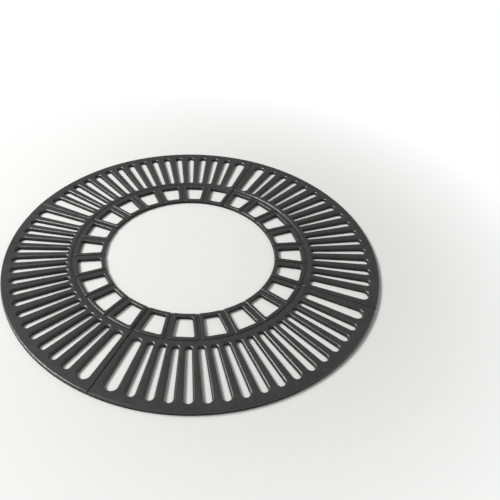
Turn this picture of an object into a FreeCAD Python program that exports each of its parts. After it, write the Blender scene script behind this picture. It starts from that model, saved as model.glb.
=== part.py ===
"""Round cast iron tree grate in four quadrant castings.

Each quadrant is a quarter ring with tapered radial slots.  Round the tree opening it drops to a thin
web, and six framed inserts lie in shallow seats on that web.  The web stands up between the seats and
so makes the floor of the grooves that part the inserts from each other and from the slotted ring.
Under the rim a joining plate, held by two low hexagon-head screws, bridges every joint.

Millimetres.  The origin is on the ground at the centre, +Z is up, and the four joints lie on the
X and Y axes.
"""
import FreeCAD, Part
import enum
import math
import os
import Sketcher

doc = FreeCAD.newDocument("tree_grate")
doc.UndoMode = 0

# ---------------------------------------------------------------- driving dimensions
# Radial lengths run outward from the tree opening, heights run upward from the ground.
SIZES = [
    ("opening_radius", 345),
    ("insert_length", 123),
    ("ring_groove", 8),
    ("inner_band", 18.5),
    ("slot_length", 220.5),
    ("rim_width", 35),
    ("web_thickness", 8),
    ("seat_depth", 4),
    ("groove_depth", 4),
    ("rim_chamfer", 3),
    ("slot_chamfer", 3),
    ("joint_gap", 3),
    # angles that slots and the end bars take up, seen from the centre
    ("slot_count", 15),
    ("slot_angle", 2.43),
    ("end_slot_angle", 3.84),
    ("end_bar_angle", 2.375),
    # ring inserts
    ("inserts_per_casting", 6),
    ("radial_groove", 10),
    ("insert_side_bar", 14),
    ("insert_inner_bar", 16),
    ("insert_outer_bar", 16),
    ("window_corner", 5),
    ("seat_clearance", 0.5),
    # joining plates and screws
    ("joiner_length", 110),
    ("joiner_edge", 2.5),
    ("joiner_thickness", 3),
    ("joiner_clearance", 0.5),
    ("screw_spacing", 70),
    ("screw_diameter", 8),
    ("screw_head_width", 13),
    ("screw_head_height", 3.5),
    ("screw_lift", 0.5),
    ("screw_clearance", 0.25),
    ("screw_end_gap", 0.5),
    ("screw_cover", 3),
]

# What follows from them
DERIVED = [
    ("insert_outer", "=dims.opening_radius + dims.insert_length"),
    ("bay_radius", "=insert_outer + dims.ring_groove"),
    ("slot_root", "=bay_radius + dims.inner_band"),
    ("slot_tip", "=slot_root + dims.slot_length"),
    ("outer_radius", "=slot_tip + dims.rim_width"),
    ("groove_floor", "=dims.web_thickness + dims.seat_depth"),
    ("plate_thickness", "=groove_floor + dims.groove_depth"),
    ("insert_thickness", "=dims.seat_depth + dims.groove_depth"),
    ("slot_bar_angle", "=(90 - 2 * dims.end_bar_angle - 2 * dims.end_slot_angle"
                       " - dims.slot_count * dims.slot_angle) / (dims.slot_count + 1)"),
    ("slot_pitch", "=dims.slot_angle + slot_bar_angle"),
    ("end_slot_turn", "=dims.end_bar_angle + dims.end_slot_angle / 2"),
    ("first_slot_turn", "=dims.end_bar_angle + dims.end_slot_angle + slot_bar_angle"
                        " + dims.slot_angle / 2"),
    ("insert_pitch", "=90 / dims.inserts_per_casting"),
    ("window_inner", "=dims.opening_radius + dims.insert_inner_bar"),
    ("window_outer", "=insert_outer - dims.insert_outer_bar"),
    ("window_inset", "=dims.radial_groove / 2 + dims.insert_side_bar"),
    ("joiner_radius", "=slot_tip + dims.rim_width / 2"),
    ("screw_head_round", "=dims.screw_head_width / (2 * cos(30))"),
    ("joiner_width", "=2 * screw_head_round + 2 * dims.joiner_edge"),
    ("joiner_height", "=dims.screw_lift + dims.screw_head_height"),
    ("pocket_height", "=joiner_height + dims.joiner_thickness"),
    ("screw_hole_top", "=plate_thickness - dims.screw_cover"),
]


def fill_sheet(name, rows):
    """Spreadsheet with one named cell per row."""
    sheet = doc.addObject("Spreadsheet::Sheet", name)
    for row, (alias, content) in enumerate(rows, start=1):
        sheet.set(f"A{row}", alias)
        sheet.set(f"B{row}", str(content))
        sheet.setAlias(f"B{row}", alias)
    doc.recompute()
    return sheet


dims = fill_sheet("dims", SIZES)
derived = fill_sheet("derived", DERIVED)
CASTINGS = 4
QUARTER_TURN = 360 / CASTINGS
INSERTS = CASTINGS * int(dims.inserts_per_casting)


# ---------------------------------------------------------------- sketch and feature helpers
def new_body(label, turn):
    """Body named as its file, turned about the centre by an angle in degrees."""
    body = doc.addObject("PartDesign::Body", label)
    body.Label = label
    body.Placement = FreeCAD.Placement(FreeCAD.Vector(), FreeCAD.Rotation(turn, 0, 0))
    return body


def clone_body(label, original, turn):
    """Body that repeats another one, turned on from it about the centre."""
    body = new_body(label, turn)
    clone = doc.addObject("PartDesign::FeatureBase", label + "_clone")
    body.Group = [clone]
    clone.BaseFeature = original
    clone.Placement = original.Placement
    body.Tip = clone
    return body


def origin_part(body, role):
    return next(o for o in body.Origin.OriginFeatures if o.Role == role)


def new_sketch(body, name, height=None, turn=None, plane="XY_Plane"):
    """Sketch on an origin plane, raised and turned by formulas where they are given."""
    sketch = body.newObject("Sketcher::SketchObject", name)
    sketch.AttachmentSupport = (origin_part(body, plane), "")
    sketch.MapMode = "FlatFace"
    if height:
        sketch.setExpression("AttachmentOffset.Base.z", height)
    if turn:
        sketch.setExpression("AttachmentOffset.Rotation.Angle", turn)
    return sketch


def constrain(sketch, kind, *where, size=None, start=None):
    """Add a constraint; size is the formula that drives it and start its value while drawing."""
    args = where if start is None else (*where, start)
    index = sketch.addConstraint(Sketcher.Constraint(kind, *args))
    if size:
        sketch.setExpression(f"Constraints[{index}]", size)


def point(radius, degrees=0.0):
    turn = math.radians(degrees)
    return FreeCAD.Vector(radius * math.cos(turn), radius * math.sin(turn), 0)


def add_line(sketch, start, end):
    return sketch.addGeometry(Part.LineSegment(start, end))


def add_arc(sketch, centre, radius, start, end):
    """Arc from one angle to another, counter-clockwise, in degrees."""
    circle = Part.Circle(centre, FreeCAD.Vector(0, 0, 1), radius)
    return sketch.addGeometry(Part.ArcOfCircle(circle, math.radians(start), math.radians(end)))


def close_loop(sketch, *ends):
    """Join the listed (geometry, end) pairs two by two."""
    for first, second in zip(ends[0::2], ends[1::2]):
        constrain(sketch, "Coincident", *first, *second)


class CurvePoint(enum.IntEnum):
    """The sketcher's numbers for the points of a curve."""
    START = 1
    END = 2
    CENTRE = 3


START, END, CENTRE = CurvePoint
ORIGIN = (-1, START)


def draw_slot_end(sketch, cell, x, out, angle_cell, angle):
    """One end of a slot, a half octagon; out is 1 at the tip and -1 at the root."""
    slope, share = math.tan(math.radians(angle / 2)), math.sin(math.radians(angle / 2))
    flat = x * share / (1 + out * share) * math.tan(math.pi / 8)
    meet = (x + out * flat) / (1 + out * slope)
    end = add_line(sketch, FreeCAD.Vector(x, -flat, 0), FreeCAD.Vector(x, flat, 0))
    upper = add_line(sketch, FreeCAD.Vector(meet, meet * slope, 0), FreeCAD.Vector(x, flat, 0))
    lower = add_line(sketch, FreeCAD.Vector(meet, -meet * slope, 0), FreeCAD.Vector(x, -flat, 0))
    close_loop(sketch, (upper, END), (end, END), (lower, END), (end, START))
    constrain(sketch, "Vertical", end)
    constrain(sketch, "Angle", upper, start=math.atan2(-1, out))
    constrain(sketch, "Angle", lower, start=math.atan2(1, out))
    constrain(sketch, "DistanceX", *ORIGIN, end, START, start=x, size=cell)
    sine = f"sin({angle_cell} / 2)"
    half_flat = f"{cell} * {sine} / (1 + {out} * {sine}) * tan(22.5)"
    constrain(sketch, "DistanceY", *ORIGIN, end, END, start=flat, size=half_flat)
    constrain(sketch, "DistanceY", end, START, *ORIGIN, start=flat, size=half_flat)
    return upper, lower, point(meet / math.cos(math.radians(angle / 2)), angle / 2)


def draw_slot(sketch, angle_cell, angle):
    """Slot along X whose two sides aim at the centre."""
    tip_upper, tip_lower, tip = draw_slot_end(sketch, "derived.slot_tip", derived.slot_tip, 1,
                                              angle_cell, angle)
    root_upper, root_lower, root = draw_slot_end(sketch, "derived.slot_root", derived.slot_root, -1,
                                                 angle_cell, angle)
    left = add_line(sketch, root, tip)
    right = add_line(sketch, FreeCAD.Vector(root.x, -root.y, 0), FreeCAD.Vector(tip.x, -tip.y, 0))
    close_loop(sketch, (left, START), (root_upper, START), (left, END), (tip_upper, START),
               (right, START), (root_lower, START), (right, END), (tip_lower, START))
    for side, sign in ((left, 1), (right, -1)):
        constrain(sketch, "PointOnObject", *ORIGIN, side)
        constrain(sketch, "Angle", side, start=sign * math.radians(angle / 2),
                  size=f"{sign} * {angle_cell} / 2")


def constrain_sides(sketch, left, right, inset, inset_size):
    """Two sides, each parallel to an edge of the insert's sector and set in from it."""
    half = math.radians(derived.insert_pitch / 2)
    constrain(sketch, "Angle", left, start=half, size="derived.insert_pitch / 2")
    constrain(sketch, "Angle", right, start=-half, size="-derived.insert_pitch / 2")
    constrain(sketch, "Distance", *ORIGIN, left, start=inset, size=inset_size)
    constrain(sketch, "Distance", *ORIGIN, right, start=inset, size=inset_size)


def draw_sector(sketch, inner, inner_size, outer, outer_size, inset, inset_size):
    """Outline between two circles about the centre, as of an insert or of its seat."""
    half = derived.insert_pitch / 2
    near = half - math.degrees(math.asin(inset / inner))
    far = half - math.degrees(math.asin(inset / outer))
    left = add_line(sketch, point(inner, near), point(outer, far))
    right = add_line(sketch, point(inner, -near), point(outer, -far))
    outside = add_arc(sketch, point(0), outer, -far, far)
    inside = add_arc(sketch, point(0), inner, -near, near)
    close_loop(sketch, (left, END), (outside, END), (right, END), (outside, START),
               (left, START), (inside, END), (right, START), (inside, START),
               (outside, CENTRE), ORIGIN, (inside, CENTRE), ORIGIN)
    constrain(sketch, "Radius", outside, start=outer, size=outer_size)
    constrain(sketch, "Radius", inside, start=inner, size=inner_size)
    constrain_sides(sketch, left, right, inset, inset_size)


def draw_window(sketch):
    """Straight-sided window of an insert; the opening of the web below it is the same."""
    half = math.radians(derived.insert_pitch / 2)
    inset = derived.window_inset

    def corner(x, side):
        return FreeCAD.Vector(x, side * (x * math.tan(half) - inset / math.cos(half)), 0)

    x_in, x_out = derived.window_inner, derived.window_outer
    left = add_line(sketch, corner(x_in, 1), corner(x_out, 1))
    right = add_line(sketch, corner(x_in, -1), corner(x_out, -1))
    inside = add_line(sketch, corner(x_in, -1), corner(x_in, 1))
    outside = add_line(sketch, corner(x_out, -1), corner(x_out, 1))
    close_loop(sketch, (left, START), (inside, END), (left, END), (outside, END),
               (right, START), (inside, START), (right, END), (outside, START))
    constrain(sketch, "Vertical", inside)
    constrain(sketch, "Vertical", outside)
    constrain(sketch, "DistanceX", *ORIGIN, inside, START, start=x_in, size="derived.window_inner")
    constrain(sketch, "DistanceX", *ORIGIN, outside, START, start=x_out, size="derived.window_outer")
    constrain_sides(sketch, left, right, inset, "derived.window_inset")


def draw_circle(sketch, x, radius, radius_size, x_size=None, y=0.0, y_size=None):
    """Circle, about the centre unless it is given a place with formulas."""
    circle = sketch.addGeometry(Part.Circle(FreeCAD.Vector(x, y, 0), FreeCAD.Vector(0, 0, 1), radius))
    constrain(sketch, "Radius", circle, start=radius, size=radius_size)
    if x_size:
        constrain(sketch, "DistanceX", *ORIGIN, circle, CENTRE, start=x, size=x_size)
        constrain(sketch, "DistanceY", *ORIGIN, circle, CENTRE, start=y, size=y_size)
    else:
        constrain(sketch, "Coincident", circle, CENTRE, *ORIGIN)


def draw_box(sketch, x, x_size, y_reach, y_size, width, width_size):
    """Rectangle across the X axis, x being its middle, for a joining plate or its pocket."""
    low = FreeCAD.Vector(x - width / 2, -y_reach, 0)
    high = FreeCAD.Vector(x + width / 2, y_reach, 0)
    bottom = add_line(sketch, low, FreeCAD.Vector(high.x, low.y, 0))
    right = add_line(sketch, FreeCAD.Vector(high.x, low.y, 0), high)
    top = add_line(sketch, high, FreeCAD.Vector(low.x, high.y, 0))
    left = add_line(sketch, FreeCAD.Vector(low.x, high.y, 0), low)
    close_loop(sketch, (bottom, END), (right, START), (right, END), (top, START),
               (top, END), (left, START), (left, END), (bottom, START))
    for side in (bottom, top):
        constrain(sketch, "Horizontal", side)
    for side in (left, right):
        constrain(sketch, "Vertical", side)
    constrain(sketch, "DistanceX", *ORIGIN, left, START, start=x - width / 2,
              size=f"{x_size} - {width_size} / 2")
    constrain(sketch, "DistanceX", *ORIGIN, right, START, start=x + width / 2,
              size=f"{x_size} + {width_size} / 2")
    constrain(sketch, "DistanceY", *ORIGIN, top, START, start=y_reach, size=y_size)
    constrain(sketch, "DistanceY", bottom, START, *ORIGIN, start=y_reach, size=y_size)


def pad(body, name, sketch, length):
    feature = body.newObject("PartDesign::Pad", name)
    feature.Profile = sketch
    feature.setExpression("Length", length)
    return feature


def cut(body, name, sketch, depth=None, upward=False):
    """Pocket downward from its sketch, or upward; without a depth it goes right through."""
    feature = body.newObject("PartDesign::Pocket", name)
    feature.Profile = sketch
    feature.Reversed = upward
    if depth:
        feature.setExpression("Length", depth)
    else:
        feature.Type = "ThroughAll"
    return feature


def repeat(body, name, feature, count, spacing):
    """Copies of a feature round the body's Z axis, each a pitch on from the last."""
    pattern = body.newObject("PartDesign::PolarPattern", name)
    pattern.Originals = [feature]
    pattern.Axis = (origin_part(body, "Z_Axis"), [""])
    pattern.Mode = "Spacing"
    pattern.setExpression("Offset", spacing)
    pattern.setExpression("Occurrences", count)
    body.Tip = pattern
    return pattern


# ---------------------------------------------------------------- quadrant castings
def chamfer_top_edges(body, name, size, wanted):
    """Chamfer along those edges of the top face that the test picks."""
    doc.recompute()
    before = body.Tip
    edges = [f"Edge{i}" for i, e in enumerate(before.Shape.Edges, start=1)
             if abs(e.BoundBox.ZMin - derived.plate_thickness) < 1e-6 and wanted(e)]
    chamfer = body.newObject("PartDesign::Chamfer", name)
    chamfer.Base = (before, edges)
    chamfer.setExpression("Size", size)
    body.Tip = chamfer


def build_casting(label, turn):
    """Quarter of the grate between the joints on its X and Y axes."""
    body = new_body(label, turn)
    outer, inner, gap = derived.outer_radius, dims.opening_radius, dims.joint_gap / 2

    # quarter ring, its two end faces half a joint gap off the axes
    sketch = new_sketch(body, "CastingOutline")
    near = math.degrees(math.asin(gap / inner))
    far = math.degrees(math.asin(gap / outer))
    rim = add_arc(sketch, point(0), outer, far, QUARTER_TURN - far)
    edge = add_arc(sketch, point(0), inner, near, QUARTER_TURN - near)
    first = add_line(sketch, point(inner, near), point(outer, far))
    last = add_line(sketch, point(outer, QUARTER_TURN - far), point(inner, QUARTER_TURN - near))
    close_loop(sketch, (first, END), (rim, START), (rim, END), (last, START),
               (last, END), (edge, END), (first, START), (edge, START),
               (rim, CENTRE), ORIGIN, (edge, CENTRE), ORIGIN)
    constrain(sketch, "Horizontal", first)
    constrain(sketch, "Vertical", last)
    constrain(sketch, "Radius", rim, start=outer, size="derived.outer_radius")
    constrain(sketch, "Radius", edge, start=inner, size="dims.opening_radius")
    constrain(sketch, "DistanceY", *ORIGIN, first, START, start=gap, size="dims.joint_gap / 2")
    constrain(sketch, "DistanceX", *ORIGIN, last, START, start=gap, size="dims.joint_gap / 2")
    pad(body, "Casting", sketch, "derived.plate_thickness")

    # slots: a row of equal ones, and a wider one beside each joint
    sketch = new_sketch(body, "SlotOutline", "derived.plate_thickness", "derived.first_slot_turn")
    draw_slot(sketch, "dims.slot_angle", dims.slot_angle)
    slot = cut(body, "Slot", sketch)
    repeat(body, "Slots", slot, "dims.slot_count", "derived.slot_pitch")
    sketch = new_sketch(body, "EndSlotOutline", "derived.plate_thickness", "derived.end_slot_turn")
    draw_slot(sketch, "dims.end_slot_angle", dims.end_slot_angle)
    slot = cut(body, "EndSlot", sketch)
    repeat(body, "EndSlots", slot, "2", "90 - 2 * derived.end_slot_turn")

    # broken top edges round the slots and along the rim
    def at_slot(edge):
        radii = [math.hypot(v.X, v.Y) for v in edge.Vertexes]
        return min(radii) > derived.slot_root - 1e-6 and max(radii) < derived.joiner_radius

    def on_rim(edge):
        return isinstance(edge.Curve, Part.Circle) and abs(edge.Curve.Radius - outer) < 1e-6

    chamfer_top_edges(body, "SlotChamfers", "dims.slot_chamfer", at_slot)
    chamfer_top_edges(body, "RimChamfer", "dims.rim_chamfer", on_rim)

    # the web inside the slotted ring, down to the floor of the grooves
    sketch = new_sketch(body, "BayOutline", "derived.plate_thickness")
    draw_circle(sketch, 0, derived.bay_radius, "derived.bay_radius")
    cut(body, "InsertBay", sketch, "dims.groove_depth")

    # insert seats, open towards the tree
    sketch = new_sketch(body, "SeatOutline", "derived.groove_floor", "derived.insert_pitch / 2")
    clear = dims.seat_clearance
    draw_sector(sketch, inner - clear, "dims.opening_radius - dims.seat_clearance",
                derived.insert_outer + clear, "derived.insert_outer + dims.seat_clearance",
                dims.radial_groove / 2 - clear, "dims.radial_groove / 2 - dims.seat_clearance")
    seat = cut(body, "InsertSeat", sketch, "dims.seat_depth")
    repeat(body, "InsertSeats", seat, "dims.inserts_per_casting", "derived.insert_pitch")

    # openings of the web under the windows of the inserts
    sketch = new_sketch(body, "WebOpeningOutline", "dims.web_thickness", "derived.insert_pitch / 2")
    draw_window(sketch)
    opening = cut(body, "WebOpening", sketch)
    repeat(body, "WebOpenings", opening, "dims.inserts_per_casting", "derived.insert_pitch")

    # under the rim, at both ends: half a pocket for the joining plate and a blind screw hole
    for name, angle in (("First", "0"), ("Last", "90")):
        sketch = new_sketch(body, name + "PocketOutline", turn=angle)
        draw_box(sketch, derived.joiner_radius, "derived.joiner_radius",
                 dims.joiner_length / 2 + dims.joiner_clearance,
                 "(dims.joiner_length / 2 + dims.joiner_clearance)",
                 derived.joiner_width + 2 * dims.joiner_clearance,
                 "(derived.joiner_width + 2 * dims.joiner_clearance)")
        cut(body, name + "Pocket", sketch, "derived.pocket_height", upward=True)
        side = 1 if name == "First" else -1
        sketch = new_sketch(body, name + "ScrewHoleOutline", turn=angle)
        draw_circle(sketch, derived.joiner_radius, dims.screw_diameter / 2 + dims.screw_clearance,
                    "dims.screw_diameter / 2 + dims.screw_clearance", "derived.joiner_radius",
                    side * dims.screw_spacing / 2, f"{side} * dims.screw_spacing / 2")
        cut(body, name + "ScrewHole", sketch, "derived.screw_hole_top", upward=True)
    return body


first_casting = build_casting("quadrant_casting_back_right", 0)
parts = [first_casting]
for quarter, place in enumerate(("back_left", "front_left", "front_right"), start=1):
    parts.append(clone_body(f"quadrant_casting_{place}", first_casting, quarter * QUARTER_TURN))


# ---------------------------------------------------------------- ring inserts
def build_insert(label, turn):
    """Open frame that lies in its seat with its top flush with the slotted ring."""
    body = new_body(label, turn)
    sketch = new_sketch(body, "InsertOutline", "dims.web_thickness")
    draw_sector(sketch, dims.opening_radius, "dims.opening_radius",
                derived.insert_outer, "derived.insert_outer",
                dims.radial_groove / 2, "dims.radial_groove / 2")
    pad(body, "Insert", sketch, "derived.insert_thickness")
    sketch = new_sketch(body, "WindowOutline", "derived.plate_thickness")
    draw_window(sketch)
    window = cut(body, "Window", sketch)
    doc.recompute()

    inside = [f"Edge{i}" for i, e in enumerate(window.Shape.Edges, start=1)
              if abs(e.BoundBox.ZLength - derived.insert_thickness) < 1e-6
              and abs(e.BoundBox.XLength) < 1e-6
              and (abs(e.BoundBox.XMin - derived.window_inner) < 1e-6
                   or abs(e.BoundBox.XMin - derived.window_outer) < 1e-6)]
    corners = body.newObject("PartDesign::Chamfer", "WindowCorners")
    corners.Base = (window, inside)
    corners.setExpression("Size", "dims.window_corner")
    body.Tip = corners
    return body


first_insert = build_insert("ring_insert_01", 0.5 * 360 / INSERTS)
parts.append(first_insert)
for index in range(1, INSERTS):
    parts.append(clone_body(f"ring_insert_{index + 1:02d}", first_insert, index * 360 / INSERTS))


# ---------------------------------------------------------------- joining plates
def build_joiner(label, turn):
    """Flat strip across a joint, up against the pockets' roofs, with one hole per casting."""
    body = new_body(label, turn)
    sketch = new_sketch(body, "JoinerOutline", "derived.joiner_height")
    draw_box(sketch, derived.joiner_radius, "derived.joiner_radius",
             dims.joiner_length / 2, "(dims.joiner_length / 2)",
             derived.joiner_width, "derived.joiner_width")
    pad(body, "Joiner", sketch, "dims.joiner_thickness")
    for name, side in (("First", 1), ("Last", -1)):
        sketch = new_sketch(body, name + "HoleOutline", "derived.joiner_height")
        draw_circle(sketch, derived.joiner_radius, dims.screw_diameter / 2 + dims.screw_clearance,
                    "dims.screw_diameter / 2 + dims.screw_clearance", "derived.joiner_radius",
                    side * dims.screw_spacing / 2, f"{side} * dims.screw_spacing / 2")
        cut(body, name + "Hole", sketch, upward=True)
    return body


first_joiner = build_joiner("joining_plate_right", 0)
parts.append(first_joiner)
for quarter, place in enumerate(("back", "left", "front"), start=1):
    parts.append(clone_body(f"joining_plate_{place}", first_joiner, quarter * QUARTER_TURN))


# ---------------------------------------------------------------- screws
def add_primitive(body, kind, name, height, side):
    """Upright primitive of a screw, beside the joint on the X axis."""
    solid = body.newObject("PartDesign::" + kind, name)
    solid.AttachmentSupport = (origin_part(body, "XY_Plane"), "")
    solid.MapMode = "FlatFace"
    solid.setExpression("AttachmentOffset.Base.x", "derived.joiner_radius")
    solid.setExpression("AttachmentOffset.Base.y", f"{side} * dims.screw_spacing / 2")
    solid.setExpression("AttachmentOffset.Base.z", height)
    return solid


def build_screws(label):
    """Low hexagon-head screws, all in one group of separate solids."""
    body = new_body(label, 0)
    body.AllowCompound = True
    for name, side in (("First", 1), ("Last", -1)):
        head = add_primitive(body, "AdditivePrism", name + "Head", "dims.screw_lift", side)
        head.Polygon = 6
        head.setExpression("Circumradius", "derived.screw_head_round")
        head.setExpression("Height", "dims.screw_head_height")
        shank = add_primitive(body, "AdditiveCylinder", name + "Shank", "derived.joiner_height", side)
        shank.setExpression("Radius", "dims.screw_diameter / 2")
        shank.setExpression("Height", "derived.screw_hole_top - dims.screw_end_gap"
                                      " - derived.joiner_height")
        ring = repeat(body, name + "Screws", head, f"{CASTINGS}", f"{QUARTER_TURN}")
        ring.Originals = [head, shank]
    return body


parts.append(build_screws("joining_screws"))

# ---------------------------------------------------------------- check and write
doc.recompute()
for item in doc.Objects:
    if "Invalid" in item.State or "Error" in item.State:
        raise RuntimeError(f"{item.Label} failed: {item.State}")
for part in parts:
    if part.Shape.isNull() or not part.Shape.isValid():
        raise RuntimeError(f"{part.Label} has no valid shape")

os.makedirs("parts", exist_ok=True)
for part in parts:
    part.Shape.exportStep(os.path.join("parts", part.Label + ".step"))
    print(f"{part.Label}: {len(part.Shape.Solids)} solid(s), {part.Shape.Volume / 1000:.1f} cm3")
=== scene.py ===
"""Round cast iron tree grate, flat on the ground round an opening for the trunk."""
import math
import bmesh
import bpy
from mathutils import Matrix, Vector


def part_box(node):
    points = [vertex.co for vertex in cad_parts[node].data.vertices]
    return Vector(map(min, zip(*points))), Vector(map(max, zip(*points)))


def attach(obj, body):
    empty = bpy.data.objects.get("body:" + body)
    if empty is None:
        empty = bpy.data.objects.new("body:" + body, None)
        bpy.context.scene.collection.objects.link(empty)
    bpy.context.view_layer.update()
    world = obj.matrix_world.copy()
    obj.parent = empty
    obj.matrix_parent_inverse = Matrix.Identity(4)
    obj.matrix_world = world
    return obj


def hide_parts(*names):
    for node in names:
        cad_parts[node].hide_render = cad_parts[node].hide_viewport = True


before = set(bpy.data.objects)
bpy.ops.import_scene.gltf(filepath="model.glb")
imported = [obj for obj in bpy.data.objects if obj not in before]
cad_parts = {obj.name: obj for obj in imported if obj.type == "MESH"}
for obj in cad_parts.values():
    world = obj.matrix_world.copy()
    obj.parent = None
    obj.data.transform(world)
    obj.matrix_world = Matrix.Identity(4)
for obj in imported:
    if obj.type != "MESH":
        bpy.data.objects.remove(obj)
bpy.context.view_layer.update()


# ---------------------------------------------------------------- quadrant castings
# Four quarter rings of grey iron, each poured in one piece in a sand mould.  Tapered slots lie
# between a plain rim and an inner band.  Inside the band a lower web with six openings carries the
# inserts.  Lengths are in metres and angles in degrees.
casting_low, casting_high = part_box("quadrant_casting_back_right")
TOP = casting_high.z
OUTER_RADIUS = casting_high.x
JOINT_FACE = casting_low.x
RIM_WIDTH = 0.035
SLOT_TIP = OUTER_RADIUS - RIM_WIDTH
SLOT_ROOT = 0.4945
BAY_RADIUS = 0.476
SLOT_HALF = 1.215
SLOT_PITCH = 5.0
FIRST_SLOT = 10.0
SLOT_COUNT = 15
END_SLOT_HALF = 1.92
END_SLOT_MIDDLE = 4.295
SLOT_FACETS = 48

# the flat round a slot: where its border turns the corner, as a lean and as a share past it, and
# how far the border comes in along the slot's sides
CORNER_LEAN, PAST_CORNER = 41.25, 0.01
FAN_START, TIP_FAN, ROOT_FAN = 0.008, 0.053, 0.031

# the joining plates' pockets under the rim, and the stretch of rim that is cut for them
POCKET_ROOF = 0.007
POCKET_INSIDE, POCKET_OUTSIDE = 0.722, 0.743
POCKET_REACH = 0.0555
POCKET_ZONE = 1.6 * POCKET_REACH

# the web, which reaches into the ring under its rounded edge, its seats and its openings
GROOVE_FLOOR, SEAT = 0.012, 0.008
WEB_REACH = 0.4775
OPENING_RADIUS = 0.345
SEAT_OUTER = 0.4685
SEAT_INSET = 0.0045
INSERTS_PER_CASTING = 6
INSERT_HALF = 7.5
WINDOW_INNER, WINDOW_OUTER = 0.361, 0.452
WINDOW_INSET = 0.019
WINDOW_CORNER, WINDOW_CORNER_SEGMENTS = 0.009, 8
WINDOW_FACETS = 10

# how far the mould rounds off the edges that bend by more than BEND, the slots' mouths the most
SLOT_ROUND, RIM_ROUND, JOINT_ROUND, RIDGE_ROUND, FOOT_ROUND = 0.007, 0.005, 0.0008, 0.0015, 0.0008
ROUND_SEGMENTS = 4
BEND = 30

# how close counts as level, as on the same circle, and as on a cut
FLAT, ON_CIRCLE, ON_CUT = 1e-5, 1e-4, 1e-6


def polar(radius, degrees, z):
    turn = math.radians(degrees)
    return Vector((radius * math.cos(turn), radius * math.sin(turn), z))


def new_vertices(result):
    return [g for g in result["geom"] if isinstance(g, bmesh.types.BMVert)]


def is_upright(e):
    return abs(e.verts[0].co.z - e.verts[1].co.z) > FLAT


def is_bent(e):
    return len(e.link_faces) == 2 and e.calc_face_angle(0) > math.radians(BEND)


def turn_round(bm, verts, degrees):
    """Turns points about the middle of the grate."""
    matrix = Matrix.Rotation(math.radians(degrees), 3, "Z")
    bmesh.ops.rotate(bm, verts=verts, cent=(0, 0, 0), matrix=matrix)


def repeat_round(bm, cell, pitch, count):
    """Repeats all there is, whose points are the cell, about the middle of the grate."""
    bmesh.ops.spin(bm, geom=cell + bm.edges[:] + bm.faces[:], cent=(0, 0, 0), axis=(0, 0, 1),
                   angle=math.radians(pitch * (count - 1)), steps=count - 1, use_duplicate=True)


def bevel(bm, edges, size, segments):
    bmesh.ops.bevel(bm, geom=edges, offset=size, segments=segments, profile=0.5,
                    affect="EDGES", material=-1)


def finish_mesh(bm, name, *materials):
    """Turns a bmesh into a mesh with its materials, and frees it."""
    mesh = bpy.data.meshes.new(name)
    bm.to_mesh(mesh)
    bm.free()
    for material in materials:
        mesh.materials.append(material)
    return mesh


def side_angle(side, radius):
    """Where a slot's share of the ring ends: a plain angle, or the first or last joint's face."""
    lean = math.degrees(math.asin(JOINT_FACE / radius))
    return {"first joint": lean, "last joint": 90 - lean}.get(side, side)


def add_slot(bm, middle, half_angle, low_side, high_side):
    """One slot in the top face with the iron round it, as far as its neighbours on both sides."""
    sine = math.sin(math.radians(half_angle))
    tip_round = SLOT_TIP * sine / (1 + sine)
    root_round = SLOT_ROOT * sine / (1 - sine)
    tip_centre, root_centre = SLOT_TIP - tip_round, SLOT_ROOT + root_round
    # a circle pulled apart makes the two round ends and the sides between them
    slot = bmesh.ops.create_circle(bm, segments=SLOT_FACETS, radius=1)["verts"]
    turn_round(bm, slot, 180 / SLOT_FACETS)
    for v in slot:
        size, centre = (tip_round, tip_centre) if v.co.x > 0 else (root_round, root_centre)
        v.co = Vector((centre + size * v.co.x, size * v.co.y, TOP))
    edges = list({e for v in slot for e in v.link_edges})
    border = new_vertices(bmesh.ops.extrude_edge_only(bm, edges=edges))
    for v in border:
        outward = v.co.x > (SLOT_TIP + SLOT_ROOT) / 2
        centre = tip_centre if outward else root_centre
        lean = math.degrees(math.atan2(abs(v.co.y), abs(v.co.x - centre)))
        # past the corner the border runs along the side, and starts clear of the rounded edge
        past = (lean - CORNER_LEAN) / (90 - CORNER_LEAN)
        fan_end = TIP_FAN if outward else ROOT_FAN
        fan = FAN_START + past * (fan_end - FAN_START) if past > PAST_CORNER else 0
        radius = OUTER_RADIUS - fan if outward else BAY_RADIUS + fan
        end = side_angle(high_side if v.co.y > 0 else low_side, radius)
        v.co = polar(radius, middle + min(lean / CORNER_LEAN, 1) * (end - middle), TOP)
    turn_round(bm, slot, middle)
    return slot + border


def extrude_to(bm, faces, height):
    """Extrudes faces to a height; where they are part of a wall, they leave no floor behind."""
    chosen = set(faces)
    part_of_wall = any(g not in chosen for f in faces for e in f.edges for g in e.link_faces)
    for v in new_vertices(bmesh.ops.extrude_face_region(bm, geom=faces)):
        v.co.z = height
    if part_of_wall:
        bmesh.ops.delete(bm, geom=faces, context="FACES")


def faces_at(bm, height):
    return [f for f in bm.faces if all(abs(v.co.z - height) < FLAT for v in f.verts)]


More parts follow.
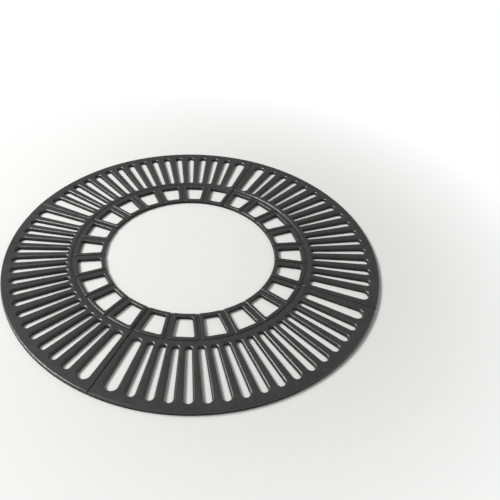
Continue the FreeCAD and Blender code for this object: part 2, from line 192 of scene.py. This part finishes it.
def cut_pockets(bm):
    """Parts the roof level along the plates' pockets and returns the faces outside them."""
    for flip in (False, True):
        def swap(x, y):
            return Vector((y, x, 0)) if flip else Vector((x, y, 0))

        def in_zone(v):
            along = v.co.x if flip else v.co.y
            return along < POCKET_ZONE and v.co.xy.length > SLOT_TIP - RIM_WIDTH / 2

        for place, normal in ((swap(POCKET_INSIDE, 0), swap(1, 0)),
                              (swap(POCKET_OUTSIDE, 0), swap(1, 0)),
                              (swap(0, POCKET_REACH), swap(0, 1))):
            near = [f for f in faces_at(bm, POCKET_ROOF) if any(in_zone(v) for v in f.verts)]
            around = list({e for f in near for e in f.edges} | {v for f in near for v in f.verts})
            bmesh.ops.bisect_plane(bm, geom=near + around, dist=ON_CUT, plane_co=place,
                                   plane_no=normal)

    def in_pocket(face):
        across, along = sorted(face.calc_center_median().xy, reverse=True)
        return POCKET_INSIDE < across < POCKET_OUTSIDE and along < POCKET_REACH

    return [f for f in faces_at(bm, POCKET_ROOF) if not in_pocket(f)]


def add_slotted_ring(bm):
    border = FIRST_SLOT - SLOT_PITCH / 2
    cell = add_slot(bm, FIRST_SLOT, SLOT_HALF, border, border + SLOT_PITCH)
    repeat_round(bm, cell, SLOT_PITCH, SLOT_COUNT)
    add_slot(bm, END_SLOT_MIDDLE, END_SLOT_HALF, "first joint", border)
    add_slot(bm, 90 - END_SLOT_MIDDLE, END_SLOT_HALF, 90 - border, "last joint")
    bmesh.ops.remove_doubles(bm, verts=bm.verts, dist=2 * FLAT)
    extrude_to(bm, bm.faces[:], POCKET_ROOF)
    extrude_to(bm, cut_pockets(bm), 0)


def side_reach(radius, inset):
    """How far a side that is set in from the line between two inserts lies from the middle line."""
    half = math.radians(INSERT_HALF)
    return radius * math.tan(half) - inset / math.cos(half)


def side_degrees(radius, inset):
    """The angle from the middle line at which such a side meets a circle."""
    return INSERT_HALF - math.degrees(math.asin(inset / radius))


def add_frame(bm, radii, insets, height):
    """A flat frame round one window, about the X axis.

    The radii run outward, and the second and third are the window's straight edges.  The insets
    are how far the sides lie from the line between two inserts, and the last is the window's.
    """
    columns, side_rows, half_rows = len(radii) - 1, len(insets) - 1, WINDOW_FACETS // 2
    rows = 2 * (side_rows + half_rows)
    grid = bmesh.ops.create_grid(bm, x_segments=columns, y_segments=rows, size=1)["verts"]
    on_window = set()
    for v in grid:
        column = round((v.co.x + 1) / 2 * columns)
        row = round(v.co.y * rows / 2)
        inset = insets[side_rows - max(abs(row) - half_rows, 0)]
        share = math.copysign(min(abs(row) / half_rows, 1), row)
        radius = radii[column]
        if column in (1, 2) and abs(row) <= half_rows:
            v.co = Vector((radius, share * side_reach(radius, inset), height))
            on_window.add(v)
        else:
            v.co = polar(radius, share * side_degrees(radius, inset), height)
    window = [f for f in bm.faces if all(v in on_window for v in f.verts)]
    bmesh.ops.delete(bm, geom=window, context="FACES")
    return [v for v in grid if v.is_valid]


def round_window_corners(bm, middles):
    """Rounds the upright corner edges of the windows, seen from the middle line of each."""
    corners = []
    for e in bm.edges:
        if not is_upright(e):
            continue
        for middle in middles:
            x, y, _ = Matrix.Rotation(-math.radians(middle), 3, "Z") @ e.verts[0].co
            on_side = abs(abs(y) - side_reach(x, WINDOW_INSET)) < FLAT
            if on_side and min(abs(x - WINDOW_INNER), abs(x - WINDOW_OUTER)) < FLAT:
                corners.append(e)
    bevel(bm, corners, WINDOW_CORNER, WINDOW_CORNER_SEGMENTS)


def add_web(bm):
    """The web: seats for the inserts, with an opening in each, and the ridges between them."""
    pitch = 2 * INSERT_HALF
    cell = add_frame(bm, (OPENING_RADIUS, WINDOW_INNER, WINDOW_OUTER, SEAT_OUTER, BAY_RADIUS),
                     (0, SEAT_INSET, WINDOW_INSET), SEAT)
    turn_round(bm, cell, INSERT_HALF)
    repeat_round(bm, cell, pitch, INSERTS_PER_CASTING)
    bmesh.ops.remove_doubles(bm, verts=bm.verts, dist=2 * FLAT)
    for v in bm.verts:
        v.co = Vector((max(v.co.x, JOINT_FACE), max(v.co.y, JOINT_FACE), SEAT))
    extrude_to(bm, bm.faces[:], 0)

    def outside_seat(face):
        x, y, _ = face.calc_center_median()
        radius, angle = math.hypot(x, y), math.degrees(math.atan2(y, x))
        from_middle = abs(angle % pitch - INSERT_HALF)
        return radius > SEAT_OUTER or from_middle > side_degrees(radius, SEAT_INSET)

    extrude_to(bm, [f for f in faces_at(bm, SEAT) if outside_seat(f)], GROOVE_FLOOR)
    for v in bm.verts:
        if v.co.z > GROOVE_FLOOR - FLAT and v.co.xy.length > BAY_RADIUS - FLAT:
            v.co.xy *= WEB_REACH / BAY_RADIUS
    round_window_corners(bm, [(i + 0.5) * pitch for i in range(INSERTS_PER_CASTING)])


def casting_round(e):
    """How far an edge of the casting is rounded, by where it lies."""
    start, end = (v.co for v in e.verts)
    near, far = sorted((start.xy.length, end.xy.length))
    at_joint = all(min(v.x, v.y) < JOINT_FACE + FLAT for v in (start, end))
    on_rim = near > OUTER_RADIUS - ON_CIRCLE
    if is_upright(e):
        return JOINT_ROUND if at_joint and on_rim else 0
    if start.z > TOP - FLAT:
        return RIM_ROUND if on_rim else JOINT_ROUND if at_joint else SLOT_ROUND
    if abs(near - BAY_RADIUS) < ON_CIRCLE and abs(far - BAY_RADIUS) < ON_CIRCLE:
        return 0
    if start.z < FLAT:
        return FOOT_ROUND
    return RIDGE_ROUND if far < OPENING_RADIUS + ON_CIRCLE and start.z > SEAT + FLAT else 0


def mark_rounds(bm, round_of, widest):
    """Writes how far each edge is rounded, for the Bevel modifier, and keeps the rest crisp."""
    bmesh.ops.recalc_face_normals(bm, faces=bm.faces)
    weight = bm.edges.layers.float.new("bevel_weight_edge")
    for e in bm.edges:
        bent = is_bent(e)
        size = round_of(e) if bent else 0
        e[weight] = size / widest
        e.smooth = size > 0 or not bent
    for f in bm.faces:
        f.smooth = True


# the skin of the iron.  A noise is its scale, detail and roughness; a grain is the scale and detail
# of its noise, with its depth and strength.
CLOUD_NOISE, SAND_NOISE, GLOSS_NOISE = (14, 6, 0.65), (230, 3, 0.55), (45, 4, 0.55)
GRAIN_ROUGHNESS = 0.55
GRAINS = ((160, 2, 0.0005, 0.25), (900, 3, 0.0002, 0.35))
SAND_SHARE = 0.6
TONE_RANGE, GLOSS_RANGE = (0.38, 0.62), (0.3, 0.7)
SKIN_DARK, SKIN_LIGHT = (0.034, 0.034, 0.034), (0.057, 0.057, 0.057)
# the rounded edges are darker than the skin: painted shade on every rounded edge, which keeps the
# edges turned from the lamp dark
EDGE_DARK, EDGE_LIGHT = (0.012, 0.012, 0.012), (0.017, 0.017, 0.017)


def new_material(name):
    material = bpy.data.materials.new(name)
    material.use_nodes = True
    nodes, links = material.node_tree.nodes, material.node_tree.links
    return material, nodes, links, nodes["Principled BSDF"]


def map_range(nodes, links, value, start, end, low=0, high=1):
    """Carries a value from one range over into another."""
    node = nodes.new("ShaderNodeMapRange")
    for name, number in (("From Min", start), ("From Max", end), ("To Min", low), ("To Max", high)):
        node.inputs[name].default_value = number
    links.new(value, node.inputs["Value"])
    return node.outputs["Result"]


def tone_ramp(nodes, links, value, dark, light, start=0, end=1):
    """Turns a value into a tone between a dark and a light one."""
    ramp = nodes.new("ShaderNodeValToRGB")
    for element, place, tone in zip(ramp.color_ramp.elements, (start, end), (dark, light)):
        element.position = place
        element.color = (*tone, 1)
    links.new(value, ramp.inputs["Fac"])
    return ramp.outputs["Color"]


def make_iron(name, dark, light, roughness, ior):
    """Sand-cast iron: a grainy skin with soft unevenness and slightly changing tone."""
    material, nodes, links, shader = new_material(name)
    shader.inputs["IOR"].default_value = ior
    place = nodes.new("ShaderNodeTexCoord").outputs["Object"]

    def noise(scale, detail, noise_roughness):
        node = nodes.new("ShaderNodeTexNoise")
        node.inputs["Scale"].default_value = scale
        node.inputs["Detail"].default_value = detail
        node.inputs["Roughness"].default_value = noise_roughness
        links.new(place, node.inputs["Vector"])
        return node.outputs["Fac"]

    # broad clouds of tone with the mottle of the sand over them
    mottle = nodes.new("ShaderNodeMix")
    mottle.inputs["Factor"].default_value = SAND_SHARE
    links.new(noise(*CLOUD_NOISE), mottle.inputs["A"])
    links.new(noise(*SAND_NOISE), mottle.inputs["B"])
    tone = tone_ramp(nodes, links, mottle.outputs["Result"], dark, light, *TONE_RANGE)
    links.new(tone, shader.inputs["Base Color"])
    gloss = map_range(nodes, links, noise(*GLOSS_NOISE), *GLOSS_RANGE, *roughness)
    links.new(gloss, shader.inputs["Roughness"])

    normal = None
    for scale, detail, depth, strength in GRAINS:
        bump = nodes.new("ShaderNodeBump")
        bump.inputs["Strength"].default_value = strength
        bump.inputs["Distance"].default_value = depth
        links.new(noise(scale, detail, GRAIN_ROUGHNESS), bump.inputs["Height"])
        if normal:
            links.new(normal, bump.inputs["Normal"])
        normal = bump.outputs["Normal"]
    links.new(normal, shader.inputs["Normal"])
    return material


iron = make_iron("cast_iron_skin", SKIN_DARK, SKIN_LIGHT, roughness=(0.5, 0.62), ior=1.25)
# the rounded edges: a glossier copy of the iron, whose darker tone is painted shade
iron_edge = make_iron("cast_iron_rounded_edge", EDGE_DARK, EDGE_LIGHT, roughness=(0.29, 0.37),
                      ior=1.82)


def add_finish(piece, widest):
    """Rounds the marked edges and evens out the shading of the flats beside them."""
    rounding = piece.modifiers.new("mould rounding", "BEVEL")
    rounding.limit_method = "WEIGHT"
    rounding.width = widest
    rounding.segments = ROUND_SEGMENTS
    rounding.use_clamp_overlap = False
    rounding.material = 1
    shading = piece.modifiers.new("even shading", "WEIGHTED_NORMAL")
    shading.keep_sharp = True


def place_piece(name, mesh, degrees, slot, *nodes):
    """A piece of the grate, turned into its place, that stands for its CAD nodes."""
    mesh.transform(Matrix.Rotation(math.radians(degrees), 4, "Z"))
    piece = bpy.data.objects.new(name, mesh)
    bpy.context.scene.collection.objects.link(piece)
    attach(piece, "root")
    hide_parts(*nodes)
    return piece


# the web and the slotted ring are closed shells of their own, in one mesh
web = bmesh.new()
add_web(web)
web_mesh = finish_mesh(web, "web")
casting = bmesh.new()
add_slotted_ring(casting)
casting.from_mesh(web_mesh)
mark_rounds(casting, casting_round, SLOT_ROUND)
casting_mesh = finish_mesh(casting, "casting", iron, iron_edge)
for quarter, place in enumerate(("back_right", "back_left", "front_left", "front_right")):
    piece = place_piece(f"casting_{place}", casting_mesh.copy(), 90 * quarter, "casting_iron",
                        f"quadrant_casting_{place}")
    add_finish(piece, SLOT_ROUND)


# ---------------------------------------------------------------- ring inserts
# Loose iron frames that lie in the seats of the web, flush with the castings.  They are lifted out
# one by one as the trunk grows.
INSERT_OUTER = 0.468
INSERT_INSET = 0.005
INSERT_ROUND, INSERT_FOOT = 0.0042, 0.0006
INSERT_CORNER, INSERT_CORNER_SEGMENTS = 0.0054, 4
CORNER_ZONE = 1
INSERT_COUNT = 24


def insert_round(e):
    if is_upright(e):
        return 0
    return INSERT_ROUND if e.verts[0].co.z > TOP - FLAT else INSERT_FOOT


def is_insert_corner(e):
    """Whether an edge is one of the four upright ones at the ends of an insert's sides."""
    foot = e.verts[0].co
    from_side = INSERT_HALF - math.degrees(math.atan2(abs(foot.y), foot.x))
    from_end = min(abs(foot.xy.length - r) for r in (OPENING_RADIUS, INSERT_OUTER))
    return is_upright(e) and from_side < CORNER_ZONE and from_end < FLAT


insert = bmesh.new()
add_frame(insert, (OPENING_RADIUS, WINDOW_INNER, WINDOW_OUTER, INSERT_OUTER),
          (INSERT_INSET, WINDOW_INSET), TOP)
extrude_to(insert, insert.faces[:], SEAT)
round_window_corners(insert, [0])
bevel(insert, [e for e in insert.edges if is_insert_corner(e)], INSERT_CORNER,
      INSERT_CORNER_SEGMENTS)
mark_rounds(insert, insert_round, INSERT_ROUND)
insert_mesh = finish_mesh(insert, "insert", iron, iron_edge)
for index in range(INSERT_COUNT):
    piece = place_piece(f"insert_{index + 1:02d}", insert_mesh.copy(),
                        (2 * index + 1) * INSERT_HALF, "insert_iron",
                        f"ring_insert_{index + 1:02d}")
    add_finish(piece, INSERT_ROUND)


# ---------------------------------------------------------------- joining plates
# Flat galvanised strips, one under each joint, that lie in pockets of both castings and keep their
# top faces level.
PLATE_CORNER, PLATE_CORNER_SEGMENTS = 0.002, 4
PLATE_ROUND, PLATE_ROUND_SEGMENTS = 0.0004, 2
ZINC_ROUGHNESS = 0.38, 0.52


def make_zinc(name, dark, light, scale):
    """Zinc coating with a faint mottling."""
    material, nodes, links, shader = new_material(name)
    shader.inputs["Metallic"].default_value = 1.0
    spangle = nodes.new("ShaderNodeTexVoronoi")
    spangle.inputs["Scale"].default_value = scale
    links.new(nodes.new("ShaderNodeTexCoord").outputs["Object"], spangle.inputs["Vector"])
    crystals = spangle.outputs["Distance"]
    links.new(tone_ramp(nodes, links, crystals, dark, light), shader.inputs["Base Color"])
    links.new(map_range(nodes, links, crystals, 0, 1, *ZINC_ROUGHNESS), shader.inputs["Roughness"])
    return material


galvanised = make_zinc("galvanised_strip", (0.36, 0.37, 0.38), (0.5, 0.51, 0.52), scale=260)
for place in ("right", "back", "left", "front"):
    low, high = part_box(f"joining_plate_{place}")
    strip = bmesh.new()
    bmesh.ops.create_cube(strip, size=1)
    for v in strip.verts:
        v.co = (low + high) / 2 + Vector([s * d for s, d in zip(v.co, high - low)])
    bevel(strip, [e for e in strip.edges if is_upright(e)], PLATE_CORNER, PLATE_CORNER_SEGMENTS)
    level = [e for e in strip.edges if is_bent(e)]
    bevel(strip, level, PLATE_ROUND, PLATE_ROUND_SEGMENTS)
    place_piece(f"plate_{place}", finish_mesh(strip, "strip", galvanised), 0, "plate_steel",
                f"joining_plate_{place}")


# ---------------------------------------------------------------- joining screws
# Low hexagon-head screws, two to a plate, put in from below.  The heads stay clear of the ground,
# and the shanks end in blind holes of the castings.
SCREW_RADIUS, SCREW_OFFSET = 0.7325, 0.035
HEAD_RADIUS, HEAD_BOTTOM, HEAD_TOP = 0.0075, 0.0005, 0.004
HEAD_CHAMFER, HEAD_CHAMFER_SEGMENTS = 0.0008, 2
SHANK_RADIUS, SHANK_TOP, SHANK_FACETS = 0.004, 0.0125, 24
JOINT_COUNT = 4


def add_prism(bm, sides, radius, bottom, top):
    """An upright rod, six-sided for a head and nearly round for a shank."""
    prism = bmesh.ops.create_cone(bm, cap_ends=True, segments=sides, radius1=radius,
                                  radius2=radius, depth=top - bottom)["verts"]
    bmesh.ops.translate(bm, verts=prism, vec=(0, 0, (top + bottom) / 2))


zinc = make_zinc("zinc_plated_screw", (0.5, 0.5, 0.5), (0.62, 0.62, 0.62), scale=900)
screws = bmesh.new()
add_prism(screws, 6, HEAD_RADIUS, HEAD_BOTTOM, HEAD_TOP)
rim = [e for e in screws.edges if all(v.co.z < HEAD_BOTTOM + FLAT for v in e.verts)]
bevel(screws, rim, HEAD_CHAMFER, HEAD_CHAMFER_SEGMENTS)
add_prism(screws, SHANK_FACETS, SHANK_RADIUS, HEAD_TOP, SHANK_TOP)
bmesh.ops.translate(screws, verts=screws.verts, vec=(SCREW_RADIUS, SCREW_OFFSET, 0))
twin = bmesh.ops.duplicate(screws, geom=screws.verts[:] + screws.edges[:] + screws.faces[:])
bmesh.ops.translate(screws, verts=new_vertices(twin), vec=(0, -2 * SCREW_OFFSET, 0))
repeat_round(screws, screws.verts[:], 360 / JOINT_COUNT, JOINT_COUNT)
place_piece("screws", finish_mesh(screws, "screws", zinc), 0, "screw_steel", "joining_screws")


# ---------------------------------------------------------------- floor, light and camera
# A plain pale floor under soft studio light, with the main lamp half way up on the left.
# The floor is pale where it is seen, but dimmer to the light that it throws back up at the grate.
FLOOR_RADIUS, FLOOR_FACETS, FLOOR_DROP = 40, 64, 0.0002
FLOOR_BOUNCE, FLOOR_SEEN = (0.2, 0.2, 0.2, 1), (0.8, 0.797, 0.792, 1)
FLOOR_ROUGHNESS = 0.9
WHITE_START, WHITE_END = 0.82, 1.5


def math_node(nodes, links, operation, *values):
    """One step of arithmetic on sockets and plain numbers."""
    node = nodes.new("ShaderNodeMath")
    node.operation = operation
    for socket, value in zip(node.inputs, values):
        if isinstance(value, bpy.types.NodeSocket):
            links.new(value, socket)
        else:
            socket.default_value = value
    return node.outputs["Value"]


def seen_rays(nodes, links):
    """1 for the rays that show a surface: the camera's, and those in metal or through glass."""
    rays = nodes.new("ShaderNodeLightPath").outputs
    seen = math_node(nodes, links, "MAXIMUM", rays["Is Camera Ray"], rays["Is Glossy Ray"])
    return math_node(nodes, links, "MAXIMUM", seen, rays["Is Transmission Ray"])


floor_material, floor_nodes, floor_links, floor_shader = new_material("pale_floor")
floor_shader.inputs["Roughness"].default_value = FLOOR_ROUGHNESS
floor_shader.inputs["Specular IOR Level"].default_value = 0.0
floor_seen = seen_rays(floor_nodes, floor_links)
floor_tone = floor_nodes.new("ShaderNodeMix")
floor_tone.data_type = "RGBA"
floor_tone.inputs["A"].default_value = FLOOR_BOUNCE
floor_tone.inputs["B"].default_value = FLOOR_SEEN
floor_links.new(floor_seen, floor_tone.inputs["Factor"])
floor_links.new(floor_tone.outputs["Result"], floor_shader.inputs["Base Color"])

# away from the grate the floor turns white, so that no line parts it from the wall behind
from_middle = floor_nodes.new("ShaderNodeVectorMath")
from_middle.operation = "LENGTH"
floor_place = floor_nodes.new("ShaderNodeTexCoord").outputs["Object"]
floor_links.new(floor_place, from_middle.inputs[0])
fade = map_range(floor_nodes, floor_links, from_middle.outputs["Value"], WHITE_START, WHITE_END)
whiteness = math_node(floor_nodes, floor_links, "MULTIPLY", fade, floor_seen)
white = floor_nodes.new("ShaderNodeEmission").outputs["Emission"]
blend = floor_nodes.new("ShaderNodeMixShader")
floor_links.new(whiteness, blend.inputs["Fac"])
floor_links.new(floor_shader.outputs["BSDF"], blend.inputs[1])
floor_links.new(white, blend.inputs[2])
floor_links.new(blend.outputs["Shader"], floor_nodes["Material Output"].inputs["Surface"])

disc = bmesh.new()
bmesh.ops.create_circle(disc, cap_ends=True, segments=FLOOR_FACETS, radius=FLOOR_RADIUS)
bmesh.ops.translate(disc, verts=disc.verts, vec=(0, 0, -FLOOR_DROP))
floor = bpy.data.objects.new("floor", finish_mesh(disc, "floor", floor_material))
bpy.context.scene.collection.objects.link(floor)

# soft even light from all round, and a white wall low behind everything where it is seen
SKY_STRENGTH = 0.36
WALL_FOOT, WALL_HEAD = 0.02, 0.3
world = bpy.data.worlds.new("studio")
world.use_nodes = True
world_nodes, world_links = world.node_tree.nodes, world.node_tree.links
background = world_nodes["Background"]
background.inputs["Color"].default_value = (1, 1, 1, 1)
direction = world_nodes.new("ShaderNodeSeparateXYZ")
sky_place = world_nodes.new("ShaderNodeTexCoord").outputs["Generated"]
world_links.new(sky_place, direction.inputs["Vector"])
wall = map_range(world_nodes, world_links, direction.outputs["Z"], WALL_FOOT, WALL_HEAD,
                 1 - SKY_STRENGTH, 0)
strength = math_node(world_nodes, world_links, "MULTIPLY_ADD", wall,
                     seen_rays(world_nodes, world_links), SKY_STRENGTH)
world_links.new(strength, background.inputs["Strength"])
bpy.context.scene.world = world

KEY_AZIMUTH, KEY_ELEVATION, KEY_DISTANCE = 198, 49, 8
key_light = bpy.data.lights.new("key", "AREA")
key_light.shape = "RECTANGLE"
key_light.size, key_light.size_y = 4.6, 2.4
key_light.energy = 620
key = bpy.data.objects.new("key", key_light)
key.location = polar(KEY_DISTANCE * math.cos(math.radians(KEY_ELEVATION)), KEY_AZIMUTH,
                     KEY_DISTANCE * math.sin(math.radians(KEY_ELEVATION)))
key.rotation_euler = (-key.location).to_track_quat("-Z", "Y").to_euler()
bpy.context.scene.collection.objects.link(key)

CAMERA_AZIMUTH, CAMERA_REACH, CAMERA_HEIGHT, CAMERA_DIP = 295.44, 1.6436, 1.4549, 41.188
camera_data = bpy.data.cameras.new("camera")
camera_data.sensor_width = 36
camera_data.lens = 38.466
camera_data.shift_x = 0.1204
camera = bpy.data.objects.new("camera", camera_data)
camera.location = polar(CAMERA_REACH, CAMERA_AZIMUTH, CAMERA_HEIGHT)
camera.rotation_euler = (math.radians(90 - CAMERA_DIP), 0, math.radians(CAMERA_AZIMUTH + 90))
bpy.context.scene.collection.objects.link(camera)
bpy.context.scene.camera = camera
bpy.context.scene.view_settings.view_transform = "Standard"
